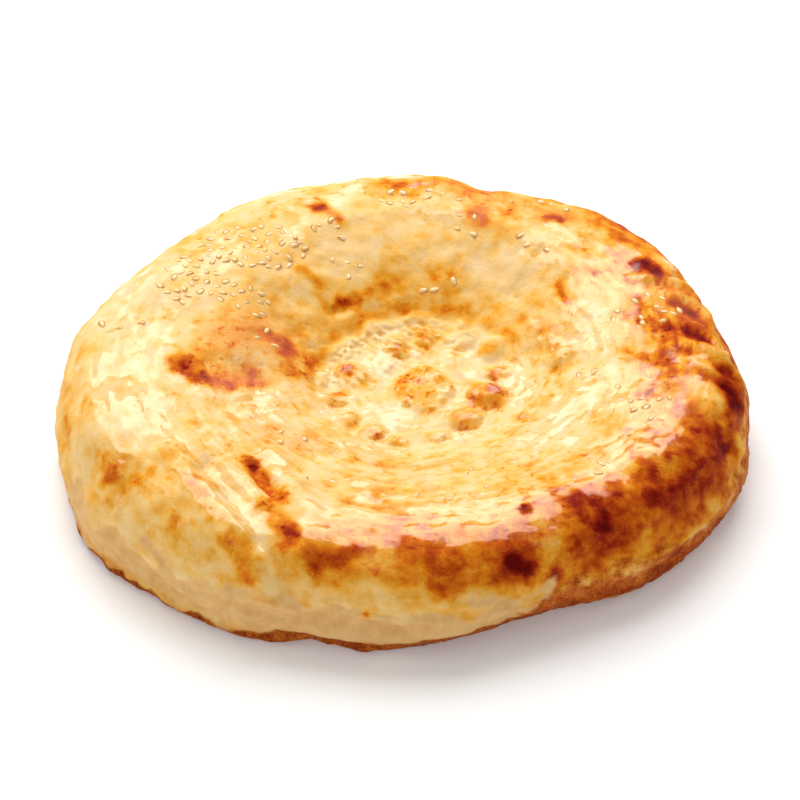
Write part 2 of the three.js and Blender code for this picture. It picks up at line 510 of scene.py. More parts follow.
wrinkles = {
    "pitch": 2.7,
    "length": 10,
    "height": 0.38,
    "waveSize": 15,  # the wrinkles wander in waves
    "waveReach": 2.5,
    "pitSize": 3.0,
    "pitDepth": 1.1,
    "rimPitch": 5.0,
    "rimHeight": 1.1,
    "wallPitch": 6.0,
    "wallHeight": 1.1,
    "foldLength": 26,
    "skinSize": 5.5,
    "skinHeight": 0.27,
    "roughSize": 1.8,  # the grain of the matte and floury places
    "roughHeight": 0.4,
}


def angleTo(values, direction):
    return np.degrees(np.abs((np.radians(values - direction) + math.pi) % (2 * math.pi) - math.pi))


def between(values, start, end, soft):
    # 1 from start to end, falling to 0 over soft on both sides
    share = np.clip(np.minimum((values - start) / soft, (end - values) / soft) + 1, 0, 1)
    return share * share * (3 - 2 * share)


def around(angles, start, end, soft):
    # the same for directions in degrees, across 0 where end is less than start
    middle, half = (start + (end - start) % 360 / 2), (end - start) % 360 / 2
    return between(angleTo(angles, middle), -1000, half, soft)


def polar(points, middle=(0, 0)):
    x, y = points[:, 0] - middle[0], points[:, 1] - middle[1]
    return np.hypot(x, y), np.degrees(np.arctan2(y, x)) % 360


def flowOf(points):
    # A place along the loaf's rings that has no seam: one unit is a millimetre, at a radius of 60.
    radius, angle = polar(points, stamp["middle"])
    turn = np.radians(angle)
    return np.stack([radius, 60 * np.cos(turn), 60 * np.sin(turn)], axis=1)


def strokeWarp(points):
    # Moves the places about a little, so that no stroke runs straight.
    return points + 2.0 * warpOf(points, 26, 6) + 1.8 * warpOf(points, 9, 3)


def pleatTaper(along):
    return np.sin(np.pi * np.clip(along, 0.06, 0.94)) ** 0.6


def sculptLarge(points, skin):
    height = mixedLumps(points, unevenness)
    height *= 1 - 0.6 * between(points[:, 2], -1, 1.5, 2)  # flatter where it rests
    warped = strokeWarp(points)
    height += skin.strokes(warped, swellings)
    for path, width, depth in gashes.values():
        distance, _, along = skin.near(points + 0.5 * warpOf(points, 5, 6), path)
        gape = np.sin(np.pi * np.clip(along, 0.03, 0.97)) ** 0.7
        height -= depth * gape * dome(distance, width * gape)
    for path, leftWidth, rightWidth, rise in pleats.values():
        distance, side, along = skin.near(warped, path)
        height += rise * pleatTaper(along) * bell(distance, np.where(side > 0, leftWidth, rightWidth))
    return height


def flowerReach(points):
    x, y = stamp["flowerMiddle"]
    return np.hypot((points[:, 0] - x) / stamp["flowerAcross"], (points[:, 1] - y) / stamp["flowerDeep"])


def combRows(points):
    # Slanting rows of small dashes at the stamp's back left, from -1 in their furrows to 1 on their ridges.
    radius, angle = polar(points, stamp["middle"])
    warped = points + warpOf(points, 6, 8)
    comb = math.radians(stamp["combDirection"])
    row = warped[:, 0] * math.cos(comb) + warped[:, 1] * math.sin(comb)
    dash = warped[:, 0] * math.sin(comb) - warped[:, 1] * math.cos(comb)
    dashes = 0.7 + 0.5 * np.sin(dash * 2 * math.pi / stamp["dashPitch"])
    rows = np.sin(row * 2 * math.pi / stamp["combPitch"]) * dashes
    return rows * around(angle, *stamp["combTurn"]) * between(radius, *stamp["combBand"])


def sculptStamp(points, above):
    radius, angle = polar(points, stamp["middle"])
    warped = points + warpOf(points, 6, 8)
    height = np.zeros(len(points))
    for x, y, across, deep, rise in stampCells:
        y -= stamp["cellShift"]
        q = np.hypot((warped[:, 0] - x) / across, (warped[:, 1] - y) / deep)
        height = np.maximum(height, rise * dome(q, 1))
    reach = flowerReach(warped)
    flower = between(reach, -1, 0.75, 0.25)
    buds = np.abs(lumps(points, stamp["budSize"], 11, 2))
    height += flower * (stamp["flowerHeight"] + stamp["budHeight"] * (buds - 0.2))
    fromGroove = np.abs(reach - 1.15) * stamp["flowerAcross"]
    height -= stamp["grooveDepth"] * bell(fromGroove, stamp["grooveWidth"])
    fromEdge = polar(warped, stamp["middle"])[0] - stamp["edgeRadius"]
    fromEdge -= stamp["scallopReach"] * np.sin(np.radians(angle * stamp["scallops"]))
    back = around(angle, *stamp["tornTurn"])
    edge = twoSided(fromEdge, stamp["edgeInside"], stamp["edgeOutside"])
    height -= stamp["edgeDepth"] * edge * (stamp["frontShare"] + (1 - stamp["frontShare"]) * back)
    torn = twoSided(fromEdge + stamp["tornInset"], stamp["tornWidth"], stamp["tornInset"]) * back
    height += stamp["tornHeight"] * torn * (0.5 + 1.4 * np.abs(lumps(points, stamp["tornGrain"], 12, 2)))
    height += stamp["combDepth"] * combRows(points)
    height += stamp["grainHeight"] * lumps(points, stamp["grainSize"], 13, 2) * between(radius, 0, 34, 4)
    return height * above


def streakShare(points):
    radius, angle = polar(points, stamp["middle"])
    front = around(angle, 190, 30, 20) * between(radius, 38, 92, 8)
    rim = around(angle, 165, 215, 12) * between(radius, 92, 112, 6)
    back = around(angle, 60, 120, 20) * between(radius, 74, 96, 8)
    return np.clip(front + 0.8 * rim + 0.6 * back, 0, 1)


def sculptWrinkles(points, above):
    radius, direction = polar(points)
    flow = flowOf(points)
    flow[:, 0] += wrinkles["waveReach"] * lumps(points, wrinkles["waveSize"], 14, 2)
    streaks = stretchedLumps(flow, wrinkles["pitch"], wrinkles["length"], 15)
    height = wrinkles["height"] * streakShare(points) * streaks
    pits = np.clip(lumps(points, wrinkles["pitSize"], 16, 2) - 0.3, 0, 1)
    scattered = between(lumps(points, 22, 17, 2), 0.02, 2, 0.15)
    height -= wrinkles["pitDepth"] * pits * scattered
    rimShare = around(direction, 162, 214, 14) * between(radius, 86, 108, 8)
    rimStreaks = stretchedLumps(flow, wrinkles["rimPitch"], wrinkles["foldLength"], 18)
    height += wrinkles["rimHeight"] * rimShare * rimStreaks
    wall = np.stack([points[:, 2] + 3 * lumps(points, 30, 19, 2), flow[:, 1], flow[:, 2]], axis=1)
    folds = stretchedLumps(wall, wrinkles["wallPitch"], wrinkles["foldLength"], 23)
    return height * above + wrinkles["wallHeight"] * folds * between(radius, 106, 200, 5)


def sculptSkin(points, rough):
    grain = wrinkles["roughHeight"] * lumps(points, wrinkles["roughSize"], 22) * rough
    return wrinkles["skinHeight"] * lumps(points, wrinkles["skinSize"], 20) + grain


def sculptLoaf(bread):
    points = pointsOf(bread)
    above = np.clip((normalsOf(bread)[:, 2] + 0.1) / 0.4, 0, 1)
    points += sculptLarge(points, Skin(bread))[:, None] * normalsOf(bread)
    movePoints(bread, points)
    points += sculptStamp(points, above)[:, None] * normalsOf(bread)
    movePoints(bread, points)
    points += sculptWrinkles(points, above)[:, None] * normalsOf(bread)
    movePoints(bread, points)
    return points


loafPoints = sculptLoaf(bread)
print("loaf sculpted")

# Baking colours: how brown, how doughy, how sandy each point of the crust is

# path, radius, how brown it makes the crust
toastMarks = {
    "diagonalSpeck": ([(-6, 50)], 3, 0.22),
    "redSpots": ([(65, -85, 34), (71, -87, 26)], 6, 0.2),
    "glareSpot": ([(41, -81)], 4.5, 0.3),
    "frontSmear": ([(10, -109, 28), (20, -108, 27)], 5, 0.16),
    "frontSpot": ([(17, -101, 36)], 5, 0.08),
    "backRightEdge": ([(56, 88, 34), (76, 76, 34), (94, 56, 34)], 10, 0.26),
    "leftPatch": ([(-58, 10), (-48, 14)], 24, 0.22),
    "leftScorch": ([(-78, -5), (-73, -11)], 8, 0.54),
    "leftScorchTail": ([(-66, -13), (-59, -11), (-51, -5)], 7, 0.5),
    "leftBrown": ([(-48, 17), (-42, 15)], 7, 0.26),
    "leftFreckle": ([(-38, 4)], 8, 0.12),
    "purpleMark": ([(24, 75), (29, 73)], 8, 0.36),
    "diagonalScorch": ([(-24, 40), (-20, 42)], 5.5, 0.5),
    "diagonalTail": ([(-37, 50), (-31, 46)], 4.5, 0.28),
    "diagonalHalo": ([(-26, 44), (-8, 50)], 12, 0.04),
    "fleckBack": ([(-31, 79), (-24, 74)], 6, 0.42),
    "fleckBackTail": ([(-38, 82), (-32, 80)], 4, 0.3),
    "slit": ([(-52, -53), (-46, -65), (-39, -78)], 5, 0.5),
    "slitTail": ([(-45, -80), (-38, -93)], 8, 0.4),
    "frontA": ([(-28, -102, 35), (-20, -104, 34)], 11, 0.42),
    "frontB": ([(-56, -94, 35), (-50, -99, 32)], 7, 0.28),
    "frontC": ([(-50, -102, 28)], 5, 0.28),
    "frontD": ([(-90, -66, 35)], 7, 0.2),
    "roundScorch": ([(38, -100, 31)], 6, 0.46),
    "roundScorchHalo": ([(37, -101, 31)], 12, 0.05),
    "roundScorchSmall": ([(50, -97, 25)], 5, 0.36),
    "amberFront": ([(0, -102, 33), (12, -101, 33), (38, -98, 31), (60, -88, 31)], 18, 0.27),
    "amberFrontLow": ([(10, -107, 30), (34, -102, 28)], 7, 0.14),
    "amberRight": ([(62, -84, 33), (86, -70, 31), (106, -48, 32)], 22, 0.26),
    "darkRight": ([(86, -69, 34), (99, -64, 25), (110, -44, 28)], 12, 0.2),
    "goldPatch": ([(46, -90, 36), (60, -86, 36)], 12, -0.3),
    "rimRight": ([(112, -34, 32), (116, -10, 30), (112, 12, 32), (104, 32, 34)], 12, 0.3),
    "rimRightScorch": ([(110, -10, 37), (113, -23, 35)], 7.5, 0.5),
    "rimRightSpot": ([(111, -42, 30)], 5, 0.35),
    "pleatBrown": ([(84, 18), (100, 10)], 15, 0.3),
    "pleatScorchA": ([(86, 46), (91, 39)], 6.5, 0.62),
    "pleatScorchB": ([(97, 24), (102, 20)], 5, 0.34),
    "pleatScorchC": ([(100, 8), (104, 4)], 4, 0.3),
    "backRight": ([(58, 77), (71, 70), (85, 55)], 10, 0.1),
    "backRightScorch": ([(77, 66), (81, 62)], 4, 0.3),
    "backTop": ([(-4, 93), (13, 94), (30, 91)], 12, 0.22),
    "backTopFleck": ([(52, 74), (56, 72)], 4, 0.34),
    "innerRightA": ([(56, 40), (58, 34)], 5, 0.34),
    "innerRightB": ([(60, 46), (66, 44)], 4, 0.26),
    "innerRightC": ([(74, 20), (77, 19)], 4, 0.26),
    "rightOrange": ([(86, -6), (102, -14)], 12, 0.22),
    "rightOrangeB": ([(86, -22), (94, -28)], 13, 0.18),
    "backWallTan": ([(-12, 50), (14, 52)], 14, 0.06),
    "backWallBrown": ([(14, 54), (22, 52)], 6, 0.12),
    "frontSlopeRosy": ([(-20, -46), (6, -48), (20, -46)], 6, 0.12),
    "leftEdge": ([(-106, -22, 36), (-106, -36, 34)], 6, 0.16),
    "leftEdgeB": ([(-110, 2, 36)], 7, 0.2),
    "frontCrest": ([(-36, -90), (0, -91), (40, -88), (75, -72), (98, -38)], 15, 0.2),
    "flowerFront": ([(6, -6)], 10, 0.12),
    "leftLow": ([(-98, -56, 36), (-100, -62, 28)], 13, 0.22),
}

# x, y, radius, how brown: the tops and front sides of the stamp's cells
toastCells = [
    (30, -2, 8.5, 0.56),
    (21, -14, 7.5, 0.5),
    (11, -23, 6, 0.38),
    (-2, -25, 5, 0.36),
    (-11, -21, 5, 0.46),
    (-19, -14, 5.5, 0.46),
    (-23, -1, 6, 0.36),
    (-21, 14, 5, 0.34),
    (-14, 8, 4.5, 0.36),
    (-3, 26, 5, 0.32),
    (8, 31, 4, 0.32),
    (8, 25, 3.5, 0.32),
    (19, 24, 4, 0.36),
    (30, 25, 4.5, 0.5),
    (33, 12, 5, 0.38),
    (56, 7, 6, 0.32),
    (24, 4, 4, 0.2),
    (36, 21, 6, 0.2),
]

# path, radius, how rosy
blushMarks = {
    "leftPatch": ([(-58, 10), (-50, 14)], 24, 0.7),
    "leftScorch": ([(-64, -13), (-51, -5)], 8, 1.0),
    "purpleMark": ([(27, 74)], 9, 1.0),
    "fleckBack": ([(-27, 76)], 7, 0.6),
    "salmon": ([(-46, -36), (-34, -36)], 13, 0.6),
    "frontSlope": ([(-8, -48), (12, -48)], 8, 0.5),
    "pleats": ([(92, 34), (102, 18)], 10, 0.4),
    "rightTop": ([(90, -16), (98, -30)], 10, 0.25),
    "backTop": ([(20, 90), (60, 74)], 12, 0.4),
}

# path, radius, how much more of the glaze lies there
glazeMarks = {
    "rightCrest": ([(66, -66), (84, -46), (94, -26)], 12, 0.5),
    "scorches": ([(-22, 38), (-12, 47)], 10, -0.6),
    "frontA": ([(-26, -102, 35)], 12, -0.8),
    "slitTail": ([(-45, -80), (-36, -95)], 9, -1.0),
    "frontBand": ([(-62, -72), (-39, -92), (0, -90), (40, -86), (58, -79)], 16, 0.75),
    "rightPool": ([(58, 22), (80, 46)], 26, 0.6),
    "rightSlope": ([(56, -22), (84, -16)], 22, 0.4),
    "leftPool": ([(-86, -50), (-92, -14)], 24, 0.3),
    "backRim": ([(30, 100), (70, 80), (96, 44)], 16, -0.5),
    "backPool": ([(40, 60), (56, 52)], 12, 0.3),
}

# amount, from and to which direction, from and to which radius; each pair with its soft edge
toastZones = {
    "rightRim": (0.1, (310, 70, 30), (88, 200, 15)),
    "leftRim": (-0.09, (150, 245, 20), (84, 200, 12)),
    "leftCrest": (-0.03, (105, 175, 20), (62, 110, 10)),
    "frontWall": (0.06, (190, 290, 15), (102, 200, 6)),
}

# the same, with the radii from the stamp's middle; None is all the way round
stampZones = {
    "floor": (-0.17, None, (11, 35, 6)),
    "slope": (-0.05, None, (35, 60, 12)),
    "backFloor": (0.15, (70, 180, 15), (26, 38, 4)),
}

toastLook = {
    "base": 0.185,
    "lumps": [(24, 40, 3, 0.13), (8, 41, 3, 0.12), (4.5, 43, 2, 0.1)],  # size, seed, detail, amount
    "foot": [(43, 13, 0.1), (38, 5, 0.15)],  # radius, width, amount: painted shade, browner where the back slope meets the stamp
    # comb: browner in the comb's furrows, paler on its ridges: painted shade in the furrows
    "comb": 0.12,
    "freckleSize": 7.5,
    "freckles": 0.17,
    "backWall": 0.13,
    "backWallHeight": 30,
    "furrows": 0.085,  # browner in each pleat's furrow, paler on its ridge: painted shade in the furrow, painted highlight on the ridge
    "ridges": 0.05,
    "cells": 0.88,
    "flower": 0.09,
    "buds": 0.42,
    "streaks": 0.14,
    "wallFoot": 0.16,
    "sandFoot": 0.42,
}

doughLook = {
    "turn": (190, 292, 10),  # from and to which direction, and its soft edge
    "top": 17,
    "unevenTop": 9,
    "leftRise": 5,
    "fade": 9,
    "footShare": 0.4,  # how much of it is left at the very base
}

# direction and height of the upper edge of the matte skin low on the right
sandTops = [(294, 17), (304, 20), (316, 19), (329, 14), (338, 17), (348, 23), (358, 25)]
sandTops += [(372, 16), (384, 6)]

# the thin browned lip that the base's edge has spread into
lip = {
    "turn": (186, 262, 12),
    "reach": 2.0,
    "height": 4.0,
    "skirtTop": 6.2,  # how high the brown skirt climbs
    "lowered": 1.3,
    "frontTurn": (248, 292, 10),
    "frontRise": 2.2,
    "curls": [(287, 24, 4), (255, 12, 2)],  # direction, half width, height of the base's lifted places
    "fade": 2.4,
    "inner": (106, 300, 20),  # from which radius, and its soft edge
}

undersideLook = {
    "base": 0.12,
    "scorch": 0.35,
    "unevenness": 0.12,
    "dimples": [(10, 52, 0.05, 0.9), (22, 53, 0, 0.5)],  # size, seed, how rare, depth
    "dimpledRadius": (-1, 96, 10),
}

glazeLook = {
    "base": 0.4,
    "lumps": [(16, 44, 3, 0.5), (5, 45, 3, 0.35)],
    "onCells": 0.15,
    "streaks": 0.4,
    "lessOn": {"dough": 0.9, "sand": 1.2, "underside": 1.2, "skirt": 1.4, "blush": 0.9},
    "lessOnScorches": 0.9,
    "lessOnWall": 0.8,
    "lessOnBackDish": 0.55,
}


class Crust:
    # Where each point of the crust lies.
    def __init__(self, bread, points):
        self.skin = Skin(bread)
        self.points = points
        self.normals = normalsOf(bread)
        self.height = self.points[:, 2].copy()
        self.radius, self.direction = polar(self.points)
        self.stampRadius = polar(self.points, stamp["middle"])[0]
        self.warp = warpOf(self.points, 9, 30, 3)
        self.marked = self.points + 2.6 * self.warp + 0.8 * warpOf(self.points, 3, 34)
        self.wall = between(self.radius, 102, 200, 6)
        self.backWall = around(self.direction, 20, 185, 20) * self.wall
        self.backDish = around(self.direction, 35, 150, 20) * between(self.radius, 34, 76, 10)
        self.streaks = stretchedLumps(flowOf(self.points), 2.6, 11, 42, 3)

    def marks(self, marks):
        return self.skin.strokes(self.marked, marks)

    def zones(self, zones, radius):
        tone = np.zeros(len(self.points))
        for amount, turn, reach in zones.values():
            turned = around(self.direction, *turn) if turn else 1
            tone += amount * turned * between(radius, *reach)
        return tone


def paintFreckles(crust):
    freckles = np.clip((lumps(crust.points, toastLook["freckleSize"], 47) - 0.16) / 0.12, 0, 1)
    freckles *= 0.6 + 0.6 * lumps(crust.points, 20, 48, 2)
    return freckles * (1 - 0.7 * crust.backDish) * (1 - 0.5 * crust.backWall)


def paintPleats(crust):
    # Painted shade in each pleat's furrow and painted highlight along its ridge.
    tone, places = np.zeros(len(crust.points)), strokeWarp(crust.points)
    for path, _, rightWidth, rise in pleats.values():
        distance, side, along = crust.skin.near(places, path)
        shadedFurrow = np.where(side < 0, bell(np.abs(distance - rightWidth - 0.5), 2.8), 0)
        litRidge = bell(distance, 1.7)
        tone += rise * pleatTaper(along) * (toastLook["furrows"] * shadedFurrow - toastLook["ridges"] * litRidge)
    return tone


def paintCells(crust):
    # How brown the cells and the flower are, and how much of each point belongs to a cell.
    places = crust.points + crust.warp
    tone, share = np.zeros(len(places)), np.zeros(len(places))
    for x, y, width, amount in toastCells:
        y -= stamp["cellShift"] + 1
        reach = dome(np.hypot(places[:, 0] - x, (places[:, 1] - y) * 0.9), width * 1.1)
        tone += toastLook["cells"] * amount * reach
        share = np.maximum(share, reach)
    buds = np.abs(lumps(crust.points, stamp["budSize"], 11, 2))
    flower = between(flowerReach(places), -1, 0.85, 0.15)
    return tone + flower * (toastLook["flower"] + toastLook["buds"] * buds), share


def paintDough(crust):
    top = doughLook["top"] + doughLook["unevenTop"] * crust.warp[:, 0]
    top += doughLook["leftRise"] * between(crust.direction, 215, 270, 30)
    dough = around(crust.direction + 8 * crust.warp[:, 1], *doughLook["turn"]) * crust.wall
    dough *= np.clip((top - crust.height) / doughLook["fade"] + 0.5, 0, 1)
    foot = doughLook["footShare"]
    return dough * (foot + (1 - foot) * np.clip((crust.height - 4) / 6, 0, 1))


def paintSand(crust):
    turned = (crust.direction + 180) % 360 + 180
    top = np.interp(turned, *zip(*sandTops)) + 5 * crust.warp[:, 1]
    sand = between(turned + 6 * crust.warp[:, 2], sandTops[0][0], sandTops[-1][0], 6) * crust.wall
    return sand * np.clip((top - crust.height) / 13 + 0.5, 0, 1)


def paintSkirt(crust):
    top = lip["skirtTop"] + 2 * crust.warp[:, 0] - lip["lowered"] * around(crust.direction, *lip["turn"])
    top += lip["frontRise"] * around(crust.direction, *lip["frontTurn"])
    for direction, halfWidth, height in lip["curls"]:
        top += height * bell(angleTo(crust.direction, direction), halfWidth)
    skirt = np.clip((top - crust.height) / lip["fade"], 0, 1)
    return skirt * between(crust.radius + 6 * crust.warp[:, 0], *lip["inner"])


def paintUnderside(crust):
    # How much of each point belongs to the underside, and how brown that is.
    share = np.clip((-crust.normals[:, 2] - 0.2) / 0.4, 0, 1) * np.clip((7 - crust.height) / 3, 0, 1)
    scorched = bell(np.abs(lumps(crust.points, 26, 49, 2) - 0.3), 0.35)
    scorched += np.clip(lumps(crust.points, 11, 50, 2) - 0.2, 0, 1)
    tone = undersideLook["base"] + undersideLook["scorch"] * scorched
    return share, tone + undersideLook["unevenness"] * lumps(crust.points, 7, 51, 2)


def paintToast(crust, cellTone, sand):
    points, wall = crust.points, crust.wall
    toast = toastLook["base"] + mixedLumps(points, toastLook["lumps"])
    toast += crust.zones(toastZones, crust.radius) + crust.zones(stampZones, crust.stampRadius)
    # painted shade along the foot of the back slope, round the stamp's back
    backFootShade = around(crust.direction, 25, 165, 20)
    for radius, width, amount in toastLook["foot"]:
        toast += amount * backFootShade * bell(np.abs(crust.stampRadius - radius), width)
    # the comb term adds painted shade in the comb's furrows and makes its ridges paler
    toast += toastLook["freckles"] * paintFreckles(crust) - toastLook["comb"] * combRows(points)
    band = bell(np.abs(crust.height - toastLook["backWallHeight"]), 13)
    toast += toastLook["backWall"] * crust.backWall * band
    toast += crust.marks(toastMarks) + paintPleats(crust) + cellTone
    toast += toastLook["streaks"] * streakShare(points) * crust.streaks
    toast += toastLook["wallFoot"] * np.clip((9 - crust.height) / 6, 0, 1) * wall
    return toast + toastLook["sandFoot"] * sand * np.clip((11 - crust.height) / 8, 0, 1)


def paintGlaze(crust, layers, cellShare):
    glaze = glazeLook["base"] + mixedLumps(crust.points, glazeLook["lumps"]) + crust.marks(glazeMarks)
    glaze += glazeLook["onCells"] * cellShare + glazeLook["streaks"] * crust.streaks
    for name, amount in glazeLook["lessOn"].items():
        glaze -= amount * np.clip(layers[name], 0, 1)
    pleated = around(crust.direction, 335, 45, 12) * between(crust.radius, 76, 112, 6)
    scorched = np.clip((layers["toast"] - 0.45) / 0.25, 0, 1) * (1 - cellShare) * (1 - 0.3 * pleated)
    steep = np.clip((0.8 - crust.normals[:, 2]) / 0.3, 0, 1) * crust.wall
    dish = around(crust.direction, 35, 150, 20) * between(crust.radius, 38, 68, 8)
    glaze -= glazeLook["lessOnScorches"] * scorched + glazeLook["lessOnWall"] * steep
    return glaze - glazeLook["lessOnBackDish"] * dish


def finishSkin(bread, crust, layers):
    # The last small relief: grain, the lip of the base, and the dimpled underside that rests on the table.
    rough = np.maximum(np.maximum(layers["sand"], 0.8 * layers["underside"]), 0.6 * layers["skirt"])
    points = crust.points + sculptSkin(crust.points, rough)[:, None] * crust.normals
    low = bell(points[:, 2] - 1.5, lip["height"]) * around(crust.direction, *lip["turn"]) * crust.wall
    spread = lip["reach"] * low * (1 + 0.6 * crust.warp[:, 2])
    points[:, :2] *= 1 + (spread / np.maximum(crust.radius, 1))[:, None]
    dimples = np.zeros(len(points))
    for size, seed, rarity, depth in undersideLook["dimples"]:
        dimples += depth * np.clip(lumps(points, size, seed, 2) - rarity, 0, 1)
    dimples *= layers["underside"] * between(crust.radius, *undersideLook["dimpledRadius"])
    points[:, 2] = np.maximum(points[:, 2], 0) + dimples
    movePoints(bread, points)
    return points


def paintLoaf(bread, points):
    crust = Crust(bread, points)
    layers = {"dough": paintDough(crust), "sand": paintSand(crust), "skirt": paintSkirt(crust)}
    cellTone, cellShare = paintCells(crust)
    toast = paintToast(crust, cellTone, layers["sand"])
    underside, undersideTone = paintUnderside(crust)
    layers["underside"] = underside
    layers["toast"] = toast * (1 - underside) + undersideTone * underside
    layers["blush"] = crust.marks(blushMarks)
    layers["glaze"] = paintGlaze(crust, layers, cellShare)
    points = finishSkin(bread, crust, layers)
    layers["streaks"] = streakShare(points)
    flecks = between(lumps(points, 18, 46, 2), 0.0, 2, 0.25)
    layers["flecks"] = flecks * (1 - crust.wall) * (1 - 0.8 * crust.backDish)
    for name, values in layers.items():
        layer = bread.data.attributes.new(name, "FLOAT", "POINT")
        layer.data.foreach_set("value", np.clip(values, 0, 1).astype(np.float32))
    layer = bread.data.attributes.new("flow", "FLOAT_VECTOR", "POINT")
    layer.data.foreach_set("vector", (flowOf(points) * mm).astype(np.float32).ravel())


paintLoaf(bread, loafPoints)
print("loaf painted")

# Materials

crustLook = {
    # how brown: colour, from raw cream to scorched
    "browning": [
        (0.00, (0.87, 0.64, 0.34)),
        (0.14, (0.86, 0.585, 0.23)),
        (0.28, (0.84, 0.48, 0.11)),
        (0.42, (0.79, 0.34, 0.022)),
        (0.54, (0.68, 0.185, 0.006)),
        (0.67, (0.50, 0.080, 0.003)),
        (0.82, (0.30, 0.018, 0.002)),
        (1.00, (0.12, 0.001, 0.001)),
    ],
    "doughPale": (0.80, 0.51, 0.21),
    "doughTan": (0.69, 0.39, 0.135),
    "sandTones": [
        (0.0, (0.82, 0.44, 0.15)),
        (0.35, (0.73, 0.29, 0.058)),
        (0.65, (0.57, 0.135, 0.016)),
        (1.0, (0.30, 0.04, 0.004)),
    ],
    "undersideTones": [
        (0.0, (0.80, 0.53, 0.25)),
        (0.3, (0.72, 0.38, 0.12)),
        (0.55, (0.52, 0.19, 0.035)),
        (0.8, (0.28, 0.07, 0.01)),
        (1.0, (0.12, 0.02, 0.004)),
    ],
    "skirtDark": (0.22, 0.022, 0.002),
    "skirtPale": (0.54, 0.155, 0.014),
    "blush": (0.76, 0.27, 0.17),
    "mottleSize": 4.5 * mm,
    "grainSize": 0.9 * mm,
    "streakSize": (2.0 * mm, 9 * mm),
    "swing": (0.26, 0.4),  # how far the mottling goes on raw crust, and how much further on brown
    "grainShare": 0.18,
    "streakShare": 0.35,
    "fleckSize": 3.0 * mm,
    "fleckShare": 0.16,
    "patchSize": 6.5 * mm,
    "patchShare": 0.07,
    "blushShare": 0.37,
    # what lies over the browned crust: how ragged its border is, and where the border starts and ends
    "borders": {"dough": (0.5, 0.2, 0.8), "sand": (0.9, 0.25, 0.8), "skirt": (0.6, 0.3, 0.8)},
    "glossRoughness": 0.18,
    "matteRoughness": 0.6,
    "specular": 0.05,
    "coatRoughness": 0.1,
    "coatIor": 1.55,
    "reliefStrength": 0.75,
    "reliefDepth": 0.6 * mm,
}


def addNode(tree, kind, **values):
    node = tree.nodes.new(kind)
    for name, value in values.items():
        if hasattr(node, name):
            setattr(node, name, value)
        else:
            node.inputs[name.replace("_", " ")].default_value = value
    return node


def makeMottleGroup():
    # Uneven browning shared by crust and seeds: a coarse and a fine noise, each from -0.5 to 0.5.
    group = bpy.data.node_groups.new("mottle", "ShaderNodeTree")
    group.interface.new_socket("Coarse Size", in_out="INPUT", socket_type="NodeSocketFloat")
    group.interface.new_socket("Fine Size", in_out="INPUT", socket_type="NodeSocketFloat")
    group.interface.new_socket("Coarse", in_out="OUTPUT", socket_type="NodeSocketFloat")
    group.interface.new_socket("Fine", in_out="OUTPUT", socket_type="NodeSocketFloat")
    start = group.nodes.new("NodeGroupInput")
    end = group.nodes.new("NodeGroupOutput")
    place = group.nodes.new("ShaderNodeTexCoord")
    for name, detail in (("Coarse", 6.0), ("Fine", 3.0)):
        scale = addNode(group, "ShaderNodeMath", operation="DIVIDE")
        scale.inputs[0].default_value = 1
        group.links.new(start.outputs[name + " Size"], scale.inputs[1])
        spots = addNode(group, "ShaderNodeTexNoise", Detail=detail, Roughness=0.6)
        group.links.new(place.outputs["Object"], spots.inputs["Vector"])
        group.links.new(scale.outputs[0], spots.inputs["Scale"])
        centred = addNode(group, "ShaderNodeMath", operation="SUBTRACT")
        group.links.new(spots.outputs["Fac"], centred.inputs[0])
        centred.inputs[1].default_value = 0.5
        group.links.new(centred.outputs[0], end.inputs[name])
    return group


